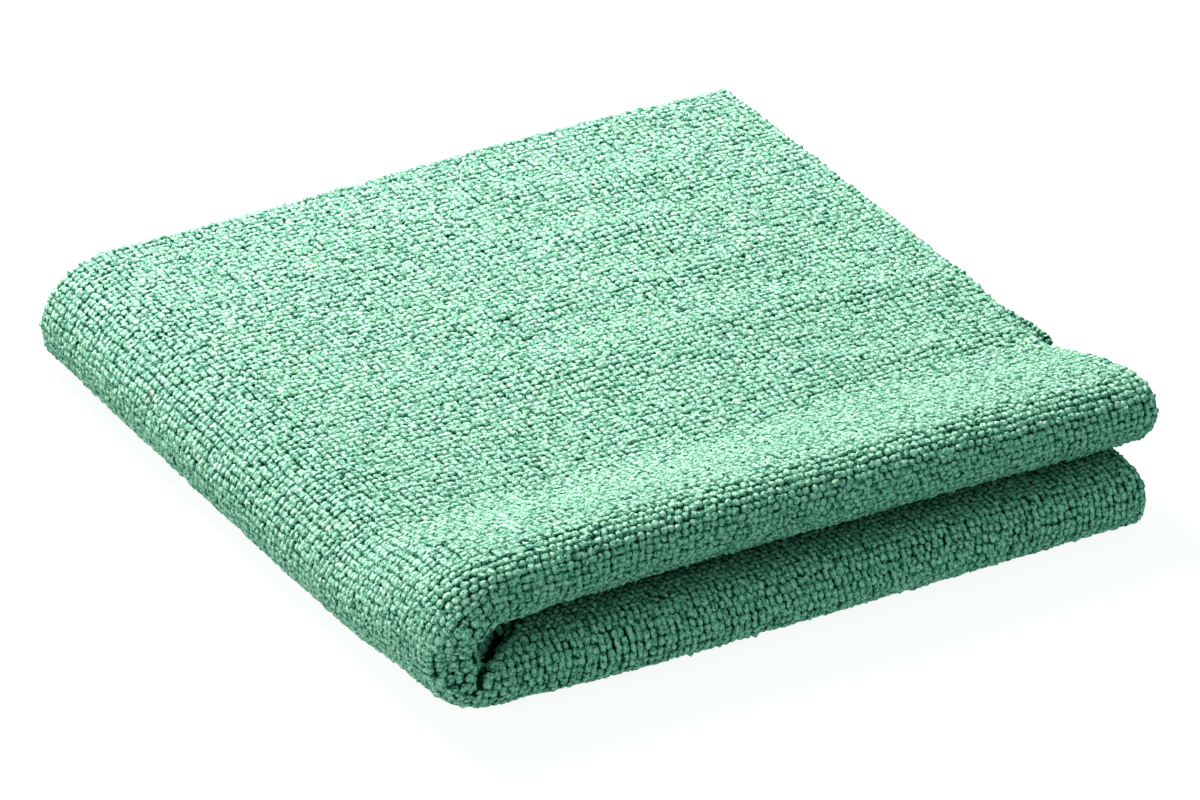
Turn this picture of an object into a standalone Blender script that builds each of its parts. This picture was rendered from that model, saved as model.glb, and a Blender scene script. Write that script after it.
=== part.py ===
"""Square cloth of looped microfibre, folded twice into four layers.

The cloth is one even sheet.  Every point of it has two distances on the flat
sheet, in metres:

    across  from the second fold: below zero in the lower half of the stack,
            above zero in the upper half
    down    from the first fold: above zero in the two outer layers, below
            zero in the two inner ones

fold() turns those two distances into the point where the sheet lies.  The
first fold makes the two rounded lips at the front (-Y), one above the other.
The second fold is the wrap on the left (-X).  The cut edges lie to the right
(+X) and at the back (+Y).
"""

import math
from collections import namedtuple

import bmesh
import bpy

# ---------------------------------------------------------------- sizes, metres
HALF_ACROSS = 0.200           # half of the cut cloth, each way
HALF_DOWN = 0.206
THICKNESS = 0.0042            # ground and the loops of both faces
LIP_RELAX_UPPER = 0.042       # length over which a lip closes to the flat stack
LIP_RELAX_LOWER = 0.036
CREST_START = 0.013           # the swollen front edge, measured from its nose
CREST_LENGTH = 0.042
LIP_LEAN = -0.42              # radians; the upper lip hangs forward over its foot
LEAN_START = 0.002
LEAN_GROWTH = 0.025
LEAN_LENGTH = 0.050
BACK_START = 0.020            # from here on a layer gives way, so that it ends at the back edge
LAYERS = 4
SPACES = LAYERS - 1

# The lip of the first fold, in stations across the cloth
Lip = namedtuple("Lip", "across radius nose_y")
LIP_STATIONS = (
    Lip(-0.200, 0.0056, -0.1035),
    Lip(-0.060, 0.0058, -0.1014),
    Lip(-0.022, 0.0055, -0.0987),
    Lip(-0.009, 0.0046, -0.0988),
    Lip(0.000, 0.0047, -0.0996),
    Lip(0.009, 0.0062, -0.1005),
    Lip(0.022, 0.0081, -0.0992),
    Lip(0.060, 0.0092, -0.0988),
    Lip(0.130, 0.0094, -0.1000),
    Lip(0.200, 0.0089, -0.0988),
)

# Height of the stack on its flat part and at the front, from the second fold
Height = namedtuple("Height", "across stack crest")
HEIGHTS = (
    Height(0.000, 0.0230, 0.0386),
    Height(0.025, 0.0268, 0.0397),
    Height(0.060, 0.0264, 0.0406),
    Height(0.130, 0.0275, 0.0404),
    Height(0.200, 0.0266, 0.0374),
)

# Where the wrap and the two cut edges on the right lie, from the lip backwards
Side = namedtuple("Side", "down left upper_right lower_right")
SIDES = (
    Side(0.000, -0.1001, 0.0968, 0.0920),
    Side(0.020, -0.1009, 0.0962, 0.0930),
    Side(0.055, -0.1001, 0.0954, 0.0955),
    Side(0.085, -0.1006, 0.0976, 0.0955),
    Side(0.120, -0.1010, 0.0983, 0.0955),
    Side(0.206, -0.1015, 0.0985, 0.0955),
)

# Where the back edge lies, from the second fold to the right
Back = namedtuple("Back", "across y")
BACK_EDGE = (
    Back(0.000, 0.1015),
    Back(0.030, 0.1040),
    Back(0.100, 0.1040),
    Back(0.200, 0.1030),
)

# How far each layer's cut edges stand out past those two tables, or fall short of them
Layer = namedtuple("Layer", "half face right back")
LAYER_OFFSETS = (
    Layer("upper", "outer", 0.0000, 0.0000),
    Layer("upper", "inner", -0.0010, -0.0022),
    Layer("lower", "inner", 0.0012, -0.0008),
    Layer("lower", "outer", -0.0018, -0.0030),
)
OFFSET_GROWTH = 0.060
# A tongue of the second layer lies against the top one and shows past its edge
TONGUE_DOWN = 0.060
TONGUE_FRONT = 0.010          # how soon the tongue ends towards the lip
TONGUE_BACK = 0.056           # and towards the back edge
TONGUE_REACH = 0.0085
TONGUE_LIFT = 0.0021
TONGUE_ROOT = 0.150

# Soft ridges that the top carries, each a low swelling along X
Ridge = namedtuple("Ridge", "across down half_length half_width height slant")
RIDGES = (
    Ridge(0.160, 0.168, 0.055, 0.015, 0.0005, -0.10),
    Ridge(0.145, 0.146, 0.065, 0.016, 0.0009, -0.30),
    Ridge(0.105, 0.097, 0.090, 0.022, 0.0011, -0.18),
    Ridge(0.060, 0.170, 0.050, 0.020, 0.0006, 0.15),
)

# Steps of the mesh from each fold outwards: closer together where it bends
Steps = namedtuple("Steps", "until count")
STEPS_ACROSS = (Steps(0.028, 9), Steps(0.064, 4), Steps(HALF_ACROSS, 9))
STEPS_DOWN = (Steps(0.0145, 7), Steps(0.056, 6), Steps(0.076, 4), Steps(HALF_DOWN, 13))

MINT = (0.26, 0.60, 0.45, 1.0)
ROUGHNESS = 0.95


# ---------------------------------------------------------------- plain curves
def ease(share):
    """Go from 0 to 1 with level ends."""
    share = min(max(share, 0.0), 1.0)
    return share * share * (3 - 2 * share)


def swell(distance, half_width):
    """A rounded bump of height 1 that is 0 from half_width on."""
    return 1 - ease(abs(distance) / half_width)


def read(table, place, column):
    """Read a column of a table on a smooth curve through its rows, without overshoot."""
    places = [row[0] for row in table]
    values = [getattr(row, column) for row in table]
    place = min(max(place, places[0]), places[-1])
    gaps = [b - a for a, b in zip(places, places[1:])]
    rises = [(b - a) / gap for a, b, gap in zip(values, values[1:], gaps)]
    slopes = [0.0] * len(table)
    for i in range(1, len(table) - 1):
        if rises[i - 1] * rises[i] > 0:
            slopes[i] = 2 * rises[i - 1] * rises[i] / (rises[i - 1] + rises[i])
    i = max(k for k in range(len(gaps)) if places[k] <= place)
    t = (place - places[i]) / gaps[i]
    start = (2 * t**3 - 3 * t**2 + 1) * values[i] + (t**3 - 2 * t**2 + t) * gaps[i] * slopes[i]
    end = (3 * t**2 - 2 * t**3) * values[i + 1] + (t**3 - t**2) * gaps[i] * slopes[i + 1]
    return start + end


# ---------------------------------------------------------------- the two folds
def lip_section(depth, radius, flat_half, relax):
    """The first fold seen from its side, depth metres of cloth behind its nose.

    Returns how far back the point lies, its distance from the middle between
    the two layers, and the height that this middle keeps over the lower layer.
    """
    quarter = radius * math.pi / 2
    if depth < quarter:
        angle = depth / radius
        return radius * (1 - math.cos(angle)), radius * math.sin(angle), radius
    half = radius + (flat_half - radius) * ease((depth - quarter) / relax)
    return radius + depth - quarter, half, half


def top_height(across, depth, stack, crest):
    """Height of the middle of the top layer."""
    at_front = 1 - ease((depth - CREST_START) / CREST_LENGTH)
    height = stack + (crest - stack) * at_front - THICKNESS / 2
    for ridge in RIDGES:
        line = ridge.down + ridge.slant * (across - ridge.across)
        along = swell(across - ridge.across, ridge.half_length)
        height += ridge.height * along * swell(depth - line, ridge.half_width)
    return height


def layer_offset(across, down, column):
    """How far this layer's cut edge stands out, growing from the lip backwards."""
    half = "upper" if across > 0 else "lower"
    face = "outer" if down >= 0 else "inner"
    for layer in LAYER_OFFSETS:
        if (layer.half, layer.face) == (half, face):
            return getattr(layer, column) * ease(abs(down) / OFFSET_GROWTH)


def tongue(across, down):
    """1 where the tongue of the second layer is widest, 0 away from it."""
    if across < 0 or down > 0:
        return 0.0
    past = abs(down) - TONGUE_DOWN
    return swell(past, TONGUE_BACK if past > 0 else TONGUE_FRONT)


def fold(across, down):
    """Where the point of the flat sheet lies once it is folded twice."""
    depth = abs(down)
    side = 1 if down >= 0 else -1
    reach = abs(across)

    radius = read(LIP_STATIONS, across, "radius")
    stack = read(HEIGHTS, reach, "stack")
    crest = read(HEIGHTS, reach, "crest")
    flat_half = (stack - THICKNESS) / SPACES / 2
    relax = LIP_RELAX_UPPER if across > 0 else LIP_RELAX_LOWER
    back, half, middle = lip_section(depth, radius, flat_half, relax)

    # the second fold: a half circle from the bottom layer up to the top one
    top = top_height(across, depth, stack, crest)
    outer_radius = (top - THICKNESS / 2) / 2
    centre_z = (top + THICKNESS / 2) / 2
    lean = LIP_LEAN * ease((across - LEAN_START) / LEAN_GROWTH)
    lean *= 1 - ease((depth - radius * math.pi / 2) / LEAN_LENGTH)
    turn_radius = outer_radius - middle + side * half * math.cos(lean)
    quarter_turn = turn_radius * math.pi / 2
    angle = min(max(across / turn_radius, -math.pi / 2), math.pi / 2)

    # the straight run from the second fold to the cut edge on the right
    centre_x = read(SIDES, depth, "left") + THICKNESS / 2 + outer_radius
    edge_x = read(SIDES, depth, "upper_right" if across > 0 else "lower_right")
    edge_x += layer_offset(across, down, "right") + TONGUE_REACH * tongue(across, down)
    run = max(reach - quarter_turn, 0.0) / (HALF_ACROSS - quarter_turn)
    lift = TONGUE_LIFT * tongue(across, down) * ease((across - TONGUE_ROOT) / (HALF_ACROSS - TONGUE_ROOT))

    # the straight run from the lip to the cut edge at the back
    nose_y = read(LIP_STATIONS, across, "nose_y") + THICKNESS / 2
    back_y = read(BACK_EDGE, reach, "y") + layer_offset(across, down, "back")
    free_end = nose_y + radius + HALF_DOWN - radius * math.pi / 2
    drawn = (back_y - free_end) * ease((depth - BACK_START) / (HALF_DOWN - BACK_START))

    return (
        centre_x - turn_radius * math.cos(angle) + run * (edge_x - centre_x),
        nose_y + back + drawn + side * half * math.sin(lean),
        centre_z + turn_radius * math.sin(angle) + lift,
    )


# ---------------------------------------------------------------- the sheet
def stops(table):
    """Distances from one edge of the sheet, over the fold, to the other edge."""
    half = [0.0]
    for row in table:
        start = half[-1]
        half += [start + (row.until - start) * (k + 1) / row.count for k in range(row.count)]
    return [-distance for distance in reversed(half[1:])] + half


def make_sheet():
    """A flat grid whose points are moved to where the folded cloth lies."""
    across_stops = stops(STEPS_ACROSS)
    down_stops = stops(STEPS_DOWN)
    columns = len(across_stops) - 1
    rows = len(down_stops) - 1
    sheet = bmesh.new()
    bmesh.ops.create_grid(sheet, x_segments=columns, y_segments=rows, size=0.5)
    for point in sheet.verts:
        column = round((point.co.x + 0.5) * columns)
        row = round((point.co.y + 0.5) * rows)
        point.co = fold(across_stops[column], down_stops[row])
    mesh = bpy.data.meshes.new("cloth")
    sheet.to_mesh(mesh)
    sheet.free()
    mesh.shade_smooth()
    return mesh


def mint_microfibre():
    material = bpy.data.materials.new("mint_microfibre")
    material.use_nodes = True
    shader = material.node_tree.nodes["Principled BSDF"]
    shader.inputs["Base Color"].default_value = MINT
    shader.inputs["Roughness"].default_value = ROUGHNESS
    shader.inputs["Metallic"].default_value = 0.0
    return material


def make_cloth(collection):
    cloth = bpy.data.objects.new("cloth", make_sheet())
    collection.objects.link(cloth)
    cloth.data.materials.append(mint_microfibre())
    wall = cloth.modifiers.new("thickness", "SOLIDIFY")
    wall.thickness = THICKNESS
    wall.offset = 0.0
    wall.thickness_clamp = 0.0
    return cloth


def main():
    for old in list(bpy.data.objects):
        bpy.data.objects.remove(old)
    collection = bpy.data.collections.new("microfibre_cloth")
    bpy.context.scene.collection.children.link(collection)
    make_cloth(collection)


main()
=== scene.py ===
"""Looks of the folded microfibre cloth: its knitted ground, its pile of loops and the light.

Sizes are in metres.  A point of the cloth is named by two distances on the flat sheet:
across from the second fold (the wrap on the left), and down from the first fold (the lips
in front).  drape() turns them into the place where the cloth lies.
"""
import math
from collections import namedtuple

import bpy
import numpy as np
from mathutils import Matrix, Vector


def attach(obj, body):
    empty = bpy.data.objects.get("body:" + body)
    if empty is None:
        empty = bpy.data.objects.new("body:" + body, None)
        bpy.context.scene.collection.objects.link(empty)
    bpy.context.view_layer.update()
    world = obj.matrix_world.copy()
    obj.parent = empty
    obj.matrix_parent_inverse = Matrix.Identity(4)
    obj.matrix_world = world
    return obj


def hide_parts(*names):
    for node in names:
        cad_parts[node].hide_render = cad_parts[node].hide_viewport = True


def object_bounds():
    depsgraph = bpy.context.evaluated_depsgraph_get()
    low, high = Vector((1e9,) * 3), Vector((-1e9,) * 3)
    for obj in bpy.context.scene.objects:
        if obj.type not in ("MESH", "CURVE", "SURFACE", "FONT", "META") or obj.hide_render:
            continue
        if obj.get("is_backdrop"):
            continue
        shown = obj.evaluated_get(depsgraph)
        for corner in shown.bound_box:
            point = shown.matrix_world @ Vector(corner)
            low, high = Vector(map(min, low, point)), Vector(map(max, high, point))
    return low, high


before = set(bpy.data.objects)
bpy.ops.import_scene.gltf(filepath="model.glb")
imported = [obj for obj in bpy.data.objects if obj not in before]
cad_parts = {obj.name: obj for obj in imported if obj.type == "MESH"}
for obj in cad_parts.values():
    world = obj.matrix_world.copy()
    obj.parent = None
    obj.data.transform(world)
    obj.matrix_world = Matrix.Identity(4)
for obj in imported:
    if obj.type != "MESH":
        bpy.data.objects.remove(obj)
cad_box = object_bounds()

# ---------------------------------------------------------------- the cut cloth and its folds
HALF_ACROSS = 0.200           # half of the cut cloth, each way
HALF_DOWN = 0.206
THICKNESS = 0.0042            # ground and the loops of both faces
LIP_RELAX_UPPER = 0.042       # length over which a lip closes to the flat stack
LIP_RELAX_LOWER = 0.036
CREST_START = 0.013           # the swollen front edge, measured from its nose
CREST_LENGTH = 0.042
LIP_LEAN = -0.42              # radians; the upper lip hangs forward over its foot
LEAN_START = 0.002
LEAN_GROWTH = 0.025
LEAN_LENGTH = 0.050
BACK_START = 0.020            # from here on a layer gives way, so that it ends at the back edge
SPACES = 3                    # between the four layers

Lip = namedtuple("Lip", "across radius nose_y")
LIP_STATIONS = (
    Lip(-0.200, 0.0056, -0.1035),
    Lip(-0.060, 0.0058, -0.1014),
    Lip(-0.022, 0.0055, -0.0987),
    Lip(-0.009, 0.0046, -0.0988),
    Lip(0.000, 0.0047, -0.0996),
    Lip(0.009, 0.0062, -0.1005),
    Lip(0.022, 0.0081, -0.0992),
    Lip(0.060, 0.0092, -0.0988),
    Lip(0.130, 0.0094, -0.1000),
    Lip(0.200, 0.0089, -0.0988),
)
Height = namedtuple("Height", "across stack crest")
HEIGHTS = (
    Height(0.000, 0.0230, 0.0386),
    Height(0.025, 0.0268, 0.0397),
    Height(0.060, 0.0264, 0.0406),
    Height(0.130, 0.0275, 0.0404),
    Height(0.200, 0.0266, 0.0374),
)
Side = namedtuple("Side", "down left upper_right lower_right")
SIDES = (
    Side(0.000, -0.1001, 0.0968, 0.0920),
    Side(0.020, -0.1009, 0.0962, 0.0930),
    Side(0.055, -0.1001, 0.0954, 0.0955),
    Side(0.085, -0.1006, 0.0976, 0.0955),
    Side(0.120, -0.1010, 0.0983, 0.0955),
    Side(0.206, -0.1015, 0.0985, 0.0955),
)
Back = namedtuple("Back", "across y")
BACK_EDGE = (
    Back(0.000, 0.1015),
    Back(0.030, 0.1040),
    Back(0.100, 0.1040),
    Back(0.200, 0.1030),
)
Layer = namedtuple("Layer", "right back")
UPPER_OUTER = Layer(0.0000, 0.0000)
UPPER_INNER = Layer(-0.0010, -0.0022)
LOWER_INNER = Layer(0.0012, -0.0008)
LOWER_OUTER = Layer(-0.0018, -0.0030)
OFFSET_GROWTH = 0.060         # these offsets of the cut edges grow over this length behind the lips
TONGUE_DOWN = 0.060           # the tongue of the second layer: where it is widest
TONGUE_FRONT = 0.010          # and how far it goes on to the front and to the back
TONGUE_BACK = 0.056
TONGUE_REACH = 0.0098         # how far it stands out past its layer
TONGUE_LIFT = 0.0021          # how far its end rises, starting at its root
TONGUE_ROOT = 0.150

# Soft ridges that the top carries, each a low swelling along X
Ridge = namedtuple("Ridge", "across down half_length half_width height slant")
RIDGES = (
    Ridge(0.160, 0.168, 0.055, 0.015, 0.0005, -0.10),
    Ridge(0.145, 0.146, 0.065, 0.016, 0.0009, -0.30),
    Ridge(0.105, 0.097, 0.090, 0.022, 0.0011, -0.18),
    Ridge(0.060, 0.170, 0.050, 0.020, 0.0006, 0.15),
)

# Creases and soft swellings of the outer face, each along a path over the flat sheet.  A path's
# points are across, down and how far the cloth stands out there, below 0 where it sinks in.
# Nearer to the path than the bare half width the crease hides the pile, so that the dark ground shows
# there as painted shade in the crevice and as a painted shadow under the upper lip.
Crease = namedtuple("Crease", "name half_width bare path")
CREASES = (
    Crease("crevice between the wall and the lower lip", 0.0036, 0.0020, (
        (-0.0190, -0.0156, -0.0040),
        (-0.0155, -0.0118, -0.0044),
        (-0.0130, -0.0096, -0.0044),
        (-0.0104, -0.0070, -0.0040),
    )),
    # Painted shadow under the upper lip: the cloth sinks in and the pile is left out, so the dark
    # ground shows.
    Crease("its end under the upper lip", 0.0030, 0.0012, (
        (-0.0190, -0.0156, -0.0010),
        (-0.0230, -0.0170, -0.0026),
        (-0.0300, -0.0186, -0.0014),
    )),
    Crease("its narrow part", 0.0028, 0.0017, (
        (-0.0104, -0.0070, -0.0012),
        (-0.0088, -0.0048, -0.0030),
        (-0.0086, -0.0036, -0.0030),
    )),
    Crease("its foot", 0.0022, 0.0012, (
        (-0.0086, -0.0036, -0.0010),
        (-0.0090, -0.0025, -0.0024),
        (-0.0103, -0.0015, -0.0024),
        (-0.0121, -0.0004, -0.0012),
    )),
    Crease("edge of the wall", 0.0030, 0.0, (
        (0.0015, -0.0040, 0.0003),
        (-0.0035, -0.0030, 0.0008),
        (-0.0062, -0.0012, 0.0008),
        (-0.0084, 0.0010, 0.0004),
    )),
    Crease("dimple in the wall", 0.0048, 0.0, (
        (0.0002, 0.0016, -0.0022),
        (-0.0036, 0.0012, -0.0032),
    )),
    Crease("bulge above the dimple", 0.0050, 0.0, (
        (0.0066, 0.0034, 0.0008),
        (0.0068, -0.0010, 0.0010),
    )),
    Crease("soft ridge at the back edge", 0.0090, 0.0, (
        (0.1400, 0.2010, 0.0000),
        (0.1632, 0.2008, 0.0007),
        (0.1743, 0.1999, 0.0007),
        (0.1890, 0.1950, 0.0003),
    )),
    Crease("first soft ridge behind", 0.0090, 0.0, (
        (0.0980, 0.1900, 0.0001),
        (0.1318, 0.1799, 0.0008),
        (0.1485, 0.1745, 0.0009),
        (0.1666, 0.1741, 0.0009),
        (0.1800, 0.1775, 0.0005),
    )),
    Crease("second soft ridge behind", 0.0090, 0.0, (
        (0.1130, 0.1600, 0.0001),
        (0.1357, 0.1518, 0.0008),
        (0.1518, 0.1505, 0.0008),
        (0.1720, 0.1501, 0.0007),
    )),
    Crease("third soft ridge behind", 0.0090, 0.0, (
        (0.1180, 0.1290, 0.0003),
        (0.1407, 0.1244, 0.0008),
        (0.1536, 0.1249, 0.0009),
        (0.1690, 0.1275, 0.0005),
    )),
    Crease("long soft ridge in the middle", 0.0100, 0.0, (
        (0.1040, 0.1040, 0.0003),
        (0.1217, 0.0986, 0.0008),
        (0.1405, 0.0977, 0.0012),
        (0.1573, 0.0975, 0.0014),
        (0.1699, 0.0948, 0.0012),
        (0.1826, 0.0919, 0.0014),
        (0.1970, 0.0850, 0.0007),
    )),
    Crease("soft ridge on the left", 0.0100, 0.0, (
        (0.0600, 0.1430, 0.0001),
        (0.0877, 0.1307, 0.0008),
        (0.1080, 0.1278, 0.0007),
        (0.1215, 0.1224, 0.0003),
    )),
    Crease("soft ridge left of the middle", 0.0110, 0.0, (
        (0.0450, 0.1090, 0.0003),
        (0.0803, 0.0975, 0.0007),
        (0.1041, 0.0916, 0.0005),
        (0.1280, 0.0880, 0.0003),
    )),
    Crease("soft ridge behind the front edge", 0.0080, 0.0, (
        (0.1350, 0.0720, 0.0001),
        (0.1612, 0.0644, 0.0008),
        (0.1797, 0.0615, 0.0008),
        (0.1960, 0.0590, 0.0004),
    )),
)

# ---------------------------------------------------------------- ground and pile
GROUND = 0.0010               # thickness of the knitted ground
GRID_ACROSS = 84
GRID_DOWN = 88
EVEN_SHARE = 0.45             # 1 spaces the grid evenly, less makes it finer near the folds
PITCH_ACROSS = 0.00188        # from loop to loop along a row
PITCH_DOWN = 0.00192          # from row to row
GATHERED_ACROSS = 0.0010      # more of the pile shows round the folds, gathered from beside them
GATHERED_DOWN = 0.0020
GATHERING = 0.015             # how far from a fold the pile is gathered
TIP = 0.00215                 # how far the loops stand from the middle of the ground
ROOT = 0.0003
WRAP_HALF = 0.028             # half of the cloth that lies round the second fold
LIP_HALF = 0.016              # and round the first one
POCKET_NEAR = 0.024           # how deep one sees well between the two lips
POCKET_UPPER = 0.034          # and how deep one sees at all, above and below
POCKET_LOWER = 0.046
RIM = 0.008                   # how far in from a cut edge the inner faces show
FRONT = 0.086                 # the front part of the top ends here
INNER_ACROSS = 0.035          # how far in from the right cut edge the hollows of the lips show
INNER_DOWN = 0.030            # and how deep behind their fold
SQUARENESS = 0.72             # 1 is a round loop, less a squarer one that fills its place
SWAY = 0.00010                # how far the rows and columns wander
JITTER = 0.00008              # and each loop by itself
EDGE_MARGIN = 0.0004          # no loop stands nearer to a cut edge
KINDS = 40                    # uneven copies of each loop, and how uneven they are
UNEVENNESS = 0.08
TURN = 0.22                   # radians; how far loops turn out of their rows
WIDTH_SPREAD = 0.06           # how much loops differ in width and height
HEIGHT_SPREAD = 0.07
LOWEST = 0.80
HIGHEST = 1.12
LEAN = 0.00018                # how far the tip of a loop leans over
NARROWEST = 0.55              # limits of the room for a loop where the sheet is pressed or drawn
WIDEST = 1.6
TOUCHING = 0.75               # the share of their height where loops touch each other
TONE = 0.5                    # the mean tone, and its spread from loop to loop and from spot to spot
LOOP_TONE = 0.2
SPOT_TONE = 0.3
SEED = 11

# Specks of lint on the loops: their place on the flat sheet, length, turn and tone, 0 pink, 1 orange
Speck = namedtuple("Speck", "across down length turn tone")
SPECKS = (
    Speck(0.0065, 0.1485, 0.0009, 0.3, 0.0),
    Speck(0.0072, 0.0759, 0.0006, 1.1, 0.6),
    Speck(0.0075, 0.2011, 0.0006, 0.8, 0.0),
    Speck(0.0806, 0.0892, 0.0006, 2.0, 0.3),
    Speck(0.0964, 0.1362, 0.0008, 0.1, 0.1),
    Speck(0.1042, 0.1702, 0.0007, 1.6, 0.0),
    Speck(0.1220, 0.1087, 0.0014, 0.4, 1.0),
    Speck(0.1503, -0.0029, 0.0006, 0.9, 0.2),
    Speck(0.1572, 0.0320, 0.0007, 2.4, 0.3),
    Speck(0.1599, 0.1257, 0.0007, 0.6, 0.0),
    Speck(0.1766, 0.1377, 0.0008, 1.3, 0.0),
    Speck(0.1872, 0.1859, 0.0007, 0.2, 0.1),
)
SPECK_WIDTH = 0.00035

# ---------------------------------------------------------------- the photograph's view
AZIMUTH = math.radians(-30.07)
ELEVATION = math.radians(29.56)
DISTANCE = 1.7045
LENS = 210.9
AIM = Vector((-0.0003, -0.0022, 0.0127))
LIT = Vector((0.0, 0.0, 0.02))  # where the lamps point

rng = np.random.default_rng(SEED)


# ---------------------------------------------------------------- plain curves
def ease(share):
    """Go from 0 to 1 with level ends."""
    share = np.clip(share, 0.0, 1.0)
    return share * share * (3 - 2 * share)


def swell(distance, half_width):
    """A rounded bump of height 1 that is 0 from half_width on."""
    return 1 - ease(np.abs(distance) / half_width)


def read(table, place, column):
    """Read a column of a table on a smooth curve through its rows, without overshoot."""
    places = np.array([row[0] for row in table])
    values = np.array([getattr(row, column) for row in table])
    gaps = np.diff(places)
    rises = np.diff(values) / gaps
    slopes = np.zeros(len(table))
    for i in range(1, len(table) - 1):
        if rises[i - 1] * rises[i] > 0:
            slopes[i] = 2 * rises[i - 1] * rises[i] / (rises[i - 1] + rises[i])
    place = np.clip(place, places[0], places[-1])
    i = np.clip(np.searchsorted(places, place, side="right") - 1, 0, len(gaps) - 1)
    t = (place - places[i]) / gaps[i]
    start = (2 * t**3 - 3 * t**2 + 1) * values[i] + (t**3 - 2 * t**2 + t) * gaps[i] * slopes[i]
    end = (3 * t**2 - 2 * t**3) * values[i + 1] + (t**3 - t**2) * gaps[i] * slopes[i + 1]
    return start + end


# ---------------------------------------------------------------- the two folds
def top_height(across, depth, stack, crest):
    """Height of the middle of the top layer."""
    at_front = 1 - ease((depth - CREST_START) / CREST_LENGTH)
    height = stack + (crest - stack) * at_front - THICKNESS / 2
    for ridge in RIDGES:
        line = ridge.down + ridge.slant * (across - ridge.across)
        along = swell(across - ridge.across, ridge.half_length)
        height = height + ridge.height * along * swell(depth - line, ridge.half_width)
    return height


def upper_share(across):
    """0 in the lower half of the cloth, 1 in the upper half, going over in the second fold."""
    return ease((across + WRAP_HALF) / (2 * WRAP_HALF))


def layer_offset(across, down, column):
    """How far this layer's cut edge stands out, growing from the lip backwards."""
    upper = np.where(down >= 0, getattr(UPPER_OUTER, column), getattr(UPPER_INNER, column))
    lower = np.where(down >= 0, getattr(LOWER_OUTER, column), getattr(LOWER_INNER, column))
    offset = lower + (upper - lower) * upper_share(across)
    return offset * ease(np.abs(down) / OFFSET_GROWTH)


def tongue(across, down):
    """1 where the tongue of the second layer is widest, 0 away from it."""
    past = np.abs(down) - TONGUE_DOWN
    share = np.where(past > 0, swell(past, TONGUE_BACK), swell(past, TONGUE_FRONT))
    return np.where((across > 0) & (down < 0), share, 0.0)


def fold_twice(across, down):
    """Where the middle of the sheet lies once it is folded twice, as an array of points."""
    depth = np.abs(down)
    side = np.where(down >= 0, 1.0, -1.0)
    reach = np.abs(across)

    # the first fold, seen from its side
    radius = read(LIP_STATIONS, across, "radius")
    quarter = radius * math.pi / 2
    stack = read(HEIGHTS, reach, "stack")
    crest = read(HEIGHTS, reach, "crest")
    flat_half = (stack - THICKNESS) / SPACES / 2
    relax = LIP_RELAX_LOWER + (LIP_RELAX_UPPER - LIP_RELAX_LOWER) * upper_share(across)
    turn = np.minimum(depth / radius, math.pi / 2)
    rounded = depth < quarter
    closing = radius + (flat_half - radius) * ease((depth - quarter) / relax)
    back = np.where(rounded, radius * (1 - np.cos(turn)), radius + depth - quarter)
    half = np.where(rounded, radius * np.sin(turn), closing)
    middle = np.where(rounded, radius, closing)

    # the second fold: a half circle from the bottom layer up to the top one
    top = top_height(across, depth, stack, crest)
    outer_radius = (top - THICKNESS / 2) / 2
    centre_z = (top + THICKNESS / 2) / 2
    lean = LIP_LEAN * ease((across - LEAN_START) / LEAN_GROWTH)
    lean = lean * (1 - ease((depth - quarter) / LEAN_LENGTH))
    turn_radius = outer_radius - middle + side * half * np.cos(lean)
    quarter_turn = turn_radius * math.pi / 2
    angle = np.clip(across / turn_radius, -math.pi / 2, math.pi / 2)

    # the straight runs to the cut edges on the right and at the back
    centre_x = read(SIDES, depth, "left") + THICKNESS / 2 + outer_radius
    upper_right = read(SIDES, depth, "upper_right")
    lower_right = read(SIDES, depth, "lower_right")
    edge_x = np.where(across > 0, upper_right, lower_right)
    edge_x = edge_x + layer_offset(across, down, "right") + TONGUE_REACH * tongue(across, down)
    run = np.maximum(reach - quarter_turn, 0.0) / (HALF_ACROSS - quarter_turn)
    lift = ease((across - TONGUE_ROOT) / (HALF_ACROSS - TONGUE_ROOT))
    lift = TONGUE_LIFT * tongue(across, down) * lift
    nose_y = read(LIP_STATIONS, across, "nose_y") + THICKNESS / 2
    back_y = read(BACK_EDGE, reach, "y") + layer_offset(across, down, "back")
    free_end = nose_y + radius + HALF_DOWN - quarter
    drawn = (back_y - free_end) * ease((depth - BACK_START) / (HALF_DOWN - BACK_START))

    x = centre_x - turn_radius * np.cos(angle) + run * (edge_x - centre_x)
    y = nose_y + back + drawn + side * half * np.sin(lean)
    z = centre_z + turn_radius * np.sin(angle) + lift
    return np.stack([x, y, z], axis=-1)


def unit(vectors):
    """The same directions at length 1."""
    return vectors / np.maximum(np.linalg.norm(vectors, axis=-1, keepdims=True), 1e-12)


def nearest_on(crease, across, down):
    """How far the crease's path is, and how far the cloth stands out at its nearest point."""
    nearest = np.full(across.shape, np.inf)
    height = np.zeros(across.shape)
    for start, end in zip(crease.path, crease.path[1:]):
        run_across, run_down = end[0] - start[0], end[1] - start[1]
        share = (across - start[0]) * run_across + (down - start[1]) * run_down
        share = np.clip(share / (run_across**2 + run_down**2), 0, 1)
        distance = np.hypot(across - start[0] - share * run_across, down - start[1] - share * run_down)
        nearer = distance < nearest
        nearest = np.where(nearer, distance, nearest)
        height = np.where(nearer, start[2] + share * (end[2] - start[2]), height)
    return nearest, height


def standing_out(crease, across, down):
    """How far a crease moves the cloth outwards, below 0 inwards."""
    distance, height = nearest_on(crease, across, down)
    return height * swell(distance, crease.half_width)


def drape(across, down):
    """The middle of the sheet with its creases."""
    out = sum(standing_out(crease, across, down) for crease in CREASES)
    outwards = unit(np.cross(*slopes_of(fold_twice, across, down)))
    return fold_twice(across, down) + out[..., None] * outwards


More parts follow.
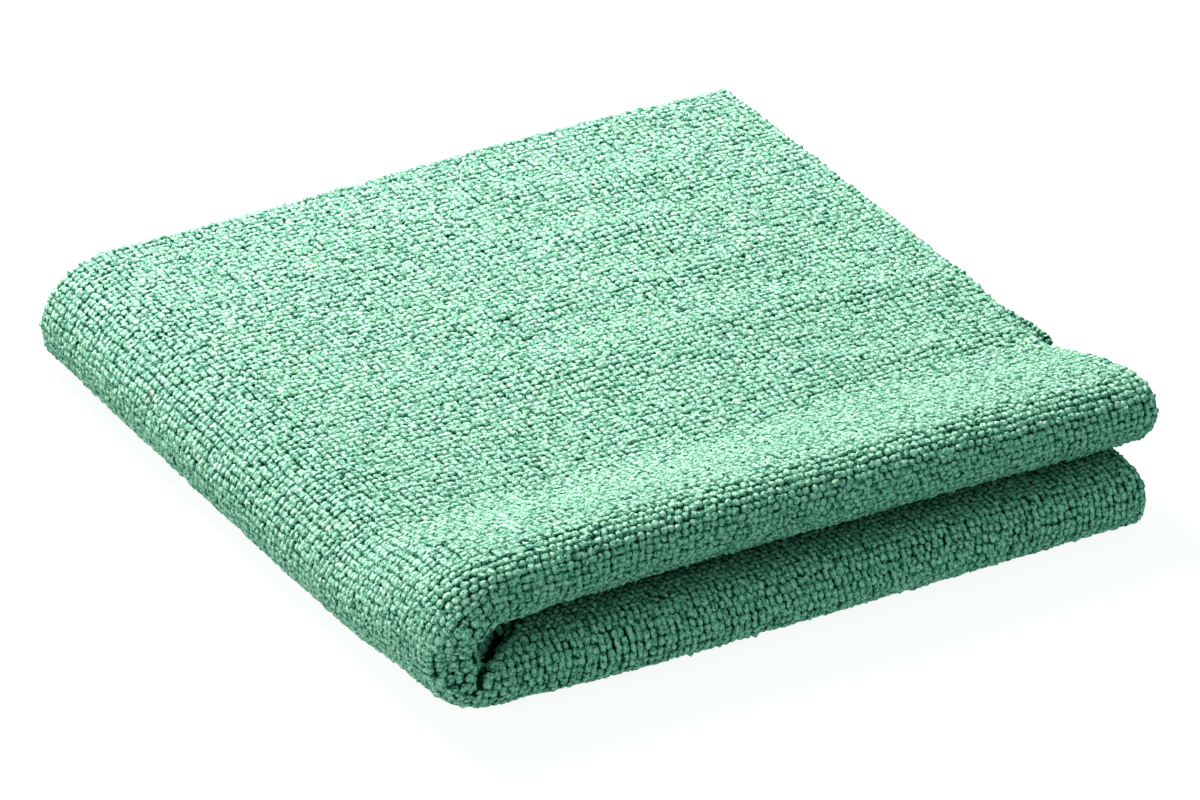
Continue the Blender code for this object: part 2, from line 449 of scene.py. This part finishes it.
def slopes_of(surface, across, down):
    """How a surface moves for each metre along a row and down a column of the flat sheet."""
    step = 0.0002
    along = (surface(across + step, down) - surface(across - step, down)) / (2 * step)
    beside = (surface(across, down + step) - surface(across, down - step)) / (2 * step)
    return along, beside


def outwards_at(across, down):
    """The way out of the sheet's outer face."""
    return unit(np.cross(*slopes_of(drape, across, down)))


def spacing_at(across, down, height):
    """The two slopes at a height above the sheet, where the loops touch each other."""
    def surface(across, down):
        return drape(across, down) + height * outwards_at(across, down)
    return slopes_of(surface, across, down)


# ---------------------------------------------------------------- small modelling helpers
def deselect_all():
    for thing in bpy.context.selected_objects:
        thing.select_set(False)


def use_only(thing):
    deselect_all()
    thing.select_set(True)
    bpy.context.view_layer.objects.active = thing


def dress(piece, material):
    """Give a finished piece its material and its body."""
    piece.data.materials.clear()
    piece.data.materials.append(material)
    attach(piece, "root")
    return piece


# ---------------------------------------------------------------- materials
class Nodes:
    """A new material with its Principled shader, and short ways to add nodes."""

    def __init__(self, name):
        self.material = bpy.data.materials.new(name)
        self.material.use_nodes = True
        self.tree = self.material.node_tree
        self.shader = self.tree.nodes["Principled BSDF"]
        self.place = self.add("ShaderNodeTexCoord").outputs["Object"]

    def add(self, kind, **settings):
        node = self.tree.nodes.new(kind)
        for key, value in settings.items():
            setattr(node, key, value)
        return node

    def link(self, source, target):
        self.tree.links.new(source, target)

    def noise(self, scale, detail=2.0, roughness=0.5):
        node = self.add("ShaderNodeTexNoise")
        node.inputs["Scale"].default_value = scale
        node.inputs["Detail"].default_value = detail
        node.inputs["Roughness"].default_value = roughness
        self.link(self.place, node.inputs["Vector"])
        return node.outputs["Fac"]

    def attribute(self, name):
        return self.add("ShaderNodeAttribute", attribute_name=name).outputs["Fac"]

    def math(self, operation, first, second):
        node = self.add("ShaderNodeMath", operation=operation)
        for socket, value in zip(node.inputs, (first, second)):
            if isinstance(value, (int, float)):
                socket.default_value = value
            else:
                self.link(value, socket)
        return node.outputs["Value"]

    def ramp(self, share, stops):
        node = self.add("ShaderNodeValToRGB")
        band = node.color_ramp
        while len(band.elements) < len(stops):
            band.elements.new(0.5)
        for element, (position, colour) in zip(band.elements, stops):
            element.position = position
            element.color = (*colour, 1.0)
        self.link(share, node.inputs["Fac"])
        return node.outputs["Color"]

    def bump(self, height, distance, strength):
        node = self.add("ShaderNodeBump")
        node.inputs["Distance"].default_value = distance
        node.inputs["Strength"].default_value = strength
        self.link(height, node.inputs["Height"])
        self.link(node.outputs["Normal"], self.shader.inputs["Normal"])


def fibre_finish(shader):
    """Matt microfibre with a soft sheen."""
    shader.inputs["Roughness"].default_value = 0.82
    shader.inputs["Specular IOR Level"].default_value = 0.08
    shader.inputs["Sheen Weight"].default_value = 0.05
    shader.inputs["Sheen Roughness"].default_value = 0.40
    shader.inputs["Sheen Tint"].default_value = (0.45, 0.95, 0.70, 1.0)


def mint_loops_painted_shade():
    """The pile: painted shade darkens the roots of the loops and the gaps between them, the tips stay
    light, and the fine filaments mottle it, their palest spots standing in for glints as painted
    highlights.
    """
    nodes = Nodes("mint_loops_painted_shade")
    # Random mottling of the fibres, made strong enough to stand in also for fine glints and shade on
    # the loops: partly painted highlight and painted shade.
    filaments_and_glints = nodes.noise(1250.0, 3.0, 0.70)
    filaments_and_glints = nodes.math("MULTIPLY", nodes.math("SUBTRACT", filaments_and_glints, 0.5), 2.30)
    patches = nodes.noise(45.0, 2.0)
    height = nodes.attribute("painted_shade_height")
    tone = nodes.attribute("tone")
    # Painted shade: the lower a point sits on its loop, the darker it is painted, for the shade at the
    # roots and in the gaps.
    share = nodes.math("MULTIPLY", nodes.math("POWER", height, 2.2), 0.62)
    share = nodes.math("ADD", share, filaments_and_glints)
    share = nodes.math("ADD", share, nodes.math("MULTIPLY", tone, 0.10))
    share = nodes.math("ADD", share, nodes.math("MULTIPLY", patches, 0.04))
    colour = nodes.ramp(share, (
        (0.10, (0.003, 0.022, 0.014)),
        (0.36, (0.080, 0.285, 0.190)),
        (0.64, (0.390, 0.640, 0.485)),
        (0.95, (0.680, 0.800, 0.550)),
    ))
    nodes.link(colour, nodes.shader.inputs["Base Color"])
    nodes.bump(nodes.noise(1400.0, 3.0, 0.6), 0.0007, 1.0)
    fibre_finish(nodes.shader)
    return nodes.material


def mint_ground_painted_shade():
    """The knitted ground, painted dark as the shade between the loops, lighter at the cut edges where
    it lies open.
    """
    nodes = Nodes("mint_ground_painted_shade")
    yarn = nodes.noise(1500.0, 2.0)
    # Painted shade: the ground is dark everywhere but at its cut edges, which the rim mark lightens.
    rim = nodes.math("MULTIPLY", nodes.attribute("rim"), 0.42)
    share = nodes.math("ADD", nodes.math("MULTIPLY", yarn, 0.5), rim)
    colour = nodes.ramp(share, (
        (0.15, (0.003, 0.020, 0.011)),
        (0.35, (0.012, 0.060, 0.036)),
        (0.64, (0.070, 0.250, 0.165)),
        (0.86, (0.330, 0.560, 0.410)),
    ))
    nodes.link(colour, nodes.shader.inputs["Base Color"])
    nodes.bump(yarn, 0.0003, 0.6)
    fibre_finish(nodes.shader)
    return nodes.material


def lint_fibres():
    """Pink and orange specks."""
    nodes = Nodes("lint_fibres")
    colour = nodes.ramp(nodes.attribute("tone"), (
        (0.0, (0.72, 0.16, 0.20)),
        (1.0, (0.80, 0.42, 0.16)),
    ))
    nodes.link(colour, nodes.shader.inputs["Base Color"])
    fibre_finish(nodes.shader)
    return nodes.material


def plain_white():
    """The floor: evenly bright, with only a faint shadow."""
    nodes = Nodes("plain_white")
    nodes.shader.inputs["Base Color"].default_value = (0.15, 0.15, 0.15, 1.0)
    nodes.shader.inputs["Roughness"].default_value = 0.9
    nodes.shader.inputs["Emission Color"].default_value = (1.0, 1.0, 1.0, 1.0)
    nodes.shader.inputs["Emission Strength"].default_value = 0.90
    return nodes.material


# ---------------------------------------------------------------- the ground
def make_ground(material):
    """A flat grid, finer near the folds, moved to where the cloth lies and given its wall."""
    deselect_all()
    bpy.ops.mesh.primitive_grid_add(x_subdivisions=GRID_ACROSS, y_subdivisions=GRID_DOWN, size=2)
    ground = bpy.context.object
    ground.name = "cloth_ground"
    flat = np.zeros(len(ground.data.vertices) * 3)
    ground.data.vertices.foreach_get("co", flat)
    flat = np.clip(flat.reshape(-1, 3), -1, 1)
    spread = EVEN_SHARE * flat + (1 - EVEN_SHARE) * flat**3
    points = drape(spread[:, 0] * HALF_ACROSS, spread[:, 1] * HALF_DOWN)
    ground.data.vertices.foreach_set("co", points.ravel())
    # The rim mark picks out the cut edges, where the ground's painted shade is lifted.
    rim = ground.data.attributes.new("rim", "FLOAT", "POINT")
    rim.data.foreach_set("value", (np.abs(flat).max(axis=1) > 0.9999).astype(np.float32))
    ground.data.update()
    use_only(ground)
    wall = ground.modifiers.new("wall", "SOLIDIFY")
    wall.thickness = GROUND
    wall.offset = 0.0
    bpy.ops.object.modifier_apply(modifier="wall")
    ground.data.shade_smooth()
    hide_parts("cloth")
    return dress(ground, material)


# ---------------------------------------------------------------- one loop of the pile
def in_fixed_order(triangles):
    """The same triangles, each from its lowest point number on, in an order that never varies."""
    return np.array(sorted((np.roll(each, -each.argmin()) for each in triangles), key=tuple))


def model_loop(sides, rings):
    """One puffy loop, half widths 1 and height 1, closed below: its points and triangles."""
    deselect_all()
    foot_height, foot = rings[0]
    bpy.ops.mesh.primitive_circle_add(vertices=sides, radius=foot, fill_type="NGON")
    loop = bpy.context.object
    bpy.ops.object.mode_set(mode="EDIT")
    bpy.ops.mesh.select_all(action="SELECT")
    below, width = foot_height, foot
    for height, ring in rings[1:]:
        bpy.ops.mesh.extrude_region_move(TRANSFORM_OT_translate={"value": (0, 0, height - below)})
        bpy.ops.transform.resize(value=(ring / width, ring / width, 1))
        below, width = height, ring
    bpy.ops.mesh.extrude_region_move(TRANSFORM_OT_translate={"value": (0, 0, 1 - below)})
    bpy.ops.mesh.merge(type="CENTER")
    bpy.ops.mesh.select_all(action="SELECT")
    bpy.ops.mesh.normals_make_consistent(inside=False)
    bpy.ops.mesh.quads_convert_to_tris()
    half_side = math.pi / sides
    bpy.ops.transform.rotate(value=half_side, orient_axis="Z", center_override=(0, 0, 0))
    bpy.ops.object.mode_set(mode="OBJECT")
    points = np.array([list(vertex.co) for vertex in loop.data.vertices])
    points[:, :2] = np.sign(points[:, :2]) * np.abs(points[:, :2]) ** SQUARENESS
    triangles = in_fixed_order([np.array(face.vertices) for face in loop.data.polygons])
    bpy.data.objects.remove(loop)
    return points, triangles


def uneven_copies(points):
    """Copies of a loop, each dented and swollen in its own way, most of all at the top."""
    dents = rng.normal(0, 1, (KINDS, len(points), 3))
    dents *= UNEVENNESS * (0.6 + 0.4 * np.clip(points[:, 2:], 0, 1))
    return points + dents


# ---------------------------------------------------------------- the pile
def lattice():
    """Where every loop of a face stands on the flat sheet, in wandering rows and columns."""
    columns = int(2 * (HALF_ACROSS + GATHERED_ACROSS) / PITCH_ACROSS)
    rows = int(2 * (HALF_DOWN + GATHERED_DOWN) / PITCH_DOWN)
    across = (np.arange(columns) - (columns - 1) / 2) * PITCH_ACROSS
    down = (np.arange(rows) - (rows - 1) / 2) * PITCH_DOWN
    across = across - GATHERED_ACROSS * np.tanh(across / GATHERING)
    down = down - GATHERED_DOWN * np.tanh(down / GATHERING)
    across, down = (grid.ravel() for grid in np.meshgrid(across, down))
    wave = 2 * math.pi
    sway = np.sin(wave * down / 0.031 + 1.0) + np.sin(wave * (down + 0.6 * across) / 0.017)
    drift = np.sin(wave * across / 0.043 + 0.4) + np.sin(wave * (across - 0.5 * down) / 0.023)
    across = across + SWAY * sway + rng.normal(0, JITTER, across.shape)
    down = down + SWAY * drift + rng.normal(0, JITTER, down.shape)
    across = np.clip(across, -HALF_ACROSS + EDGE_MARGIN, HALF_ACROSS - EDGE_MARGIN)
    down = np.clip(down, -HALF_DOWN + EDGE_MARGIN, HALF_DOWN - EDGE_MARGIN)
    return across, down


def joined_mesh(name, points, triangles, painted_shade_height, tone):
    """One mesh of many loops: points is loops x points x 3, triangles those of one loop."""
    loops, each = points.shape[:2]
    corners = (triangles[None] + np.arange(loops)[:, None, None] * each).reshape(-1, 3)
    mesh = bpy.data.meshes.new(name)
    mesh.vertices.add(loops * each)
    mesh.vertices.foreach_set("co", points.ravel().astype(np.float32))
    mesh.loops.add(corners.size)
    mesh.loops.foreach_set("vertex_index", corners.ravel().astype(np.int32))
    mesh.polygons.add(len(corners))
    mesh.polygons.foreach_set("loop_start", np.arange(0, corners.size, 3, dtype=np.int32))
    for key, values in (("painted_shade_height", painted_shade_height), ("tone", tone)):
        attribute = mesh.attributes.new(key, "FLOAT", "POINT")
        attribute.data.foreach_set("value", values.ravel().astype(np.float32))
    mesh.update(calc_edges=True)
    mesh.validate()
    mesh.shade_smooth()
    piece = bpy.data.objects.new(name, mesh)
    bpy.context.scene.collection.objects.link(piece)
    return piece


def make_pile(name, across, down, face, loop, fill, depth, material):
    """Loops that stand on one face of the sheet at the given places, as one piece.

    face is 1 on the outer face and -1 on the inner one, fill how much of its place a loop takes
    up each way, and depth how far up its sides the painted shade reaches.
    """
    points, triangles = loop
    count = len(across)
    kinds = uneven_copies(points)
    shape = kinds[rng.integers(0, len(kinds), count)]
    origin = drape(across, down)
    outwards = outwards_at(across, down) * face
    along, beside = spacing_at(across, down, face * TOUCHING * TIP)
    room_across = np.linalg.norm(along, axis=-1)
    room_down = np.linalg.norm(np.cross(along, beside), axis=-1) / room_across
    room_across = np.clip(room_across, NARROWEST, WIDEST)
    room_down = np.clip(room_down, NARROWEST, WIDEST)
    along = unit(along)
    beside = np.cross(outwards, along) * face
    turn = rng.normal(0, TURN, count) + rng.integers(0, 4, count) * (math.pi / 2)
    wide = PITCH_ACROSS / 2 * room_across * fill[0] * rng.normal(1, WIDTH_SPREAD, count)
    long = PITCH_DOWN / 2 * room_down * fill[1] * rng.normal(1, WIDTH_SPREAD, count)
    tall = (TIP - ROOT) * np.clip(rng.normal(1, HEIGHT_SPREAD, count), LOWEST, HIGHEST)
    spin_x = shape[..., 0] * np.cos(turn)[:, None] - shape[..., 1] * np.sin(turn)[:, None]
    spin_y = shape[..., 0] * np.sin(turn)[:, None] + shape[..., 1] * np.cos(turn)[:, None]
    lean = rng.normal(0, LEAN, (count, 2))
    bend = np.clip(shape[..., 2], 0, 1) ** 2
    off_across = spin_x * wide[:, None] + lean[:, :1] * bend
    off_down = spin_y * long[:, None] + lean[:, 1:] * bend
    off_out = ROOT + shape[..., 2] * tall[:, None]
    placed = (origin[:, None] + off_across[..., None] * along[:, None]
              + off_down[..., None] * beside[:, None] + off_out[..., None] * outwards[:, None])
    placed[..., 2] = np.maximum(placed[..., 2], 0.0)  # loops are pressed flat on the floor
    if face < 0:
        triangles = triangles[:, ::-1]
    tone = TONE + LOOP_TONE * rng.normal(0, 1, (count, 1))
    tone = tone + SPOT_TONE * rng.normal(0, 1, (count, len(points)))
    # Painted shade: each point's height on its loop, raised to depth, tells the material how dark to
    # paint it.
    painted_shade_height = np.repeat(np.clip(points[None, :, 2], 0, 1) ** depth, count, axis=0)
    return dress(joined_mesh(name, placed, triangles, painted_shade_height, tone), material)


def make_all_loops(material):
    """The pile of both faces, in pieces by where it lies.  Returns the pieces."""
    top = model_loop(6, ((0.0, 0.90), (0.46, 1.10), (0.84, 0.86)))
    full = model_loop(7, ((0.0, 0.90), (0.46, 1.06), (0.84, 0.86)))
    plain = model_loop(5, ((0.0, 0.90), (0.60, 1.10)))
    coarse = model_loop(4, ((0.0, 0.90), (0.60, 1.15)))
    across, down = lattice()
    # Loops near a crease's path are left out, so that the ground's painted shade shows there.
    for crease in CREASES:
        shown = nearest_on(crease, across, down)[0] >= crease.bare
        across, down = across[shown], down[shown]
    upper = across > 0
    outer = down >= 0
    wrap = np.abs(across) < WRAP_HALF
    lip = np.abs(down) < LIP_HALF
    rim = (np.abs(across) > HALF_ACROSS - RIM) | (np.abs(down) > HALF_DOWN - RIM)
    near = ~outer & (down > -POCKET_NEAR)
    pocket = ~outer & np.where(upper, down > -POCKET_UPPER, down > -POCKET_LOWER)
    front = down < FRONT
    # The last column, depth, sets how far up the loops' sides the painted shade reaches: more on the
    # lips and most between them, where the cloth lies in shade.
    regions = (
        ("loops_top_front", outer & ~lip & upper & ~wrap & front, top, (1.17, 1.15), 0.96),
        ("loops_top_back", outer & ~lip & upper & ~wrap & ~front, top, (1.17, 1.15), 0.96),
        ("loops_left_wrap", outer & ~lip & wrap, full, (1.06, 1.13), 1.05),
        ("loops_upper_lip", upper & (lip | near), full, (1.10, 1.00), 1.10),
        ("loops_lower_lip", ~upper & (lip | near), full, (1.00, 1.10), 1.15),
        ("loops_between_lips", pocket & ~near & ~lip, plain, (1.05, 1.05), 1.35),
        ("loops_underside", outer & ~lip & ~upper & ~wrap, coarse, (1.00, 1.00), 1.00),
        ("loops_between_layers", ~outer & ~lip & ~pocket & rim, plain, (1.00, 1.00), 1.00),
    )
    pieces = []
    for name, chosen, loop, fill, depth in regions:
        pieces.append(make_pile(name, across[chosen], down[chosen], 1, loop, fill, depth, material))
    inside = rim | ((np.abs(across) > HALF_ACROSS - INNER_ACROSS) & (np.abs(down) < INNER_DOWN))
    across, down = across[inside], down[inside]
    pieces.append(make_pile("loops_inner_face", across, down, -1, plain, (1.00, 1.00), 1.00, material))
    return pieces


def make_lint(material):
    """Specks that lie on the tips of the loops, as one piece."""
    points, triangles = model_loop(4, ((0.0, 0.80), (0.60, 1.00)))
    across, down, length, turn, tone = np.array(SPECKS).T
    along, beside = (unit(slope) for slope in slopes_of(drape, across, down))
    outwards = outwards_at(across, down)
    lengthwise = along * np.cos(turn)[:, None] + beside * np.sin(turn)[:, None]
    sideways = np.cross(outwards, lengthwise)
    middle = drape(across, down) + outwards * TIP
    placed = (middle[:, None] + points[None, :, :1] * (length / 2)[:, None, None] * lengthwise[:, None]
              + points[None, :, 1:2] * SPECK_WIDTH / 2 * sideways[:, None]
              + (points[None, :, 2:] - 0.5) * SPECK_WIDTH * outwards[:, None])
    tone = np.repeat(tone[:, None], len(points), axis=1)
    painted_shade_height = np.ones(tone.shape)
    return dress(joined_mesh("lint", placed, triangles, painted_shade_height, tone), material)


# ---------------------------------------------------------------- floor, light and camera
def make_stage(material):
    """A wide floor just under the cloth."""
    deselect_all()
    bpy.ops.mesh.primitive_plane_add(size=6.0, location=(0, 0, -0.0002))
    floor = bpy.context.object
    floor.name = "floor"
    floor.data.materials.append(material)
    floor.visible_diffuse = False
    floor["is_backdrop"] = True


def add_area(name, place, size, power):
    """A square lamp that points at the cloth."""
    light = bpy.data.lights.new(name, "AREA")
    light.size = size
    light.energy = power
    lamp = bpy.data.objects.new(name, light)
    lamp.location = place
    lamp.rotation_euler = (LIT - Vector(place)).to_track_quat("-Z", "Y").to_euler()
    bpy.context.scene.collection.objects.link(lamp)


def make_light():
    """Soft light all round, a key lamp above the back and a weaker one on the left."""
    world = bpy.data.worlds.new("soft_white")
    world.use_nodes = True
    background = world.node_tree.nodes["Background"]
    background.inputs["Color"].default_value = (0.52, 1.0, 0.88, 1.0)
    background.inputs["Strength"].default_value = 0.55
    bpy.context.scene.world = world
    add_area("key", (-0.08, 0.36, 0.56), 0.25, 9.2)
    add_area("left", (-0.90, 0.0, 0.10), 0.40, 4.2)


def make_camera():
    """The view of the photograph."""
    towards = Vector((math.sin(AZIMUTH) * math.cos(ELEVATION),
                      -math.cos(AZIMUTH) * math.cos(ELEVATION),
                      math.sin(ELEVATION)))
    data = bpy.data.cameras.new("camera")
    data.lens = LENS
    data.sensor_width = 36.0
    data.clip_start = 0.05
    data.clip_end = 50.0
    camera = bpy.data.objects.new("camera", data)
    camera.location = AIM + towards * DISTANCE
    camera.rotation_euler = towards.to_track_quat("Z", "Y").to_euler()
    bpy.context.scene.collection.objects.link(camera)
    bpy.context.scene.camera = camera


# ---------------------------------------------------------------- everything together
make_camera()
make_light()
make_stage(plain_white())
cloth = make_ground(mint_ground_painted_shade())
pile = make_all_loops(mint_loops_painted_shade())
pile.append(make_lint(lint_fibres()))
bpy.context.scene.view_settings.view_transform = "Standard"

sizes = {"cad": cad_box, "visual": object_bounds()}
sizes = {name: [list(corner) for corner in box] for name, box in sizes.items()}
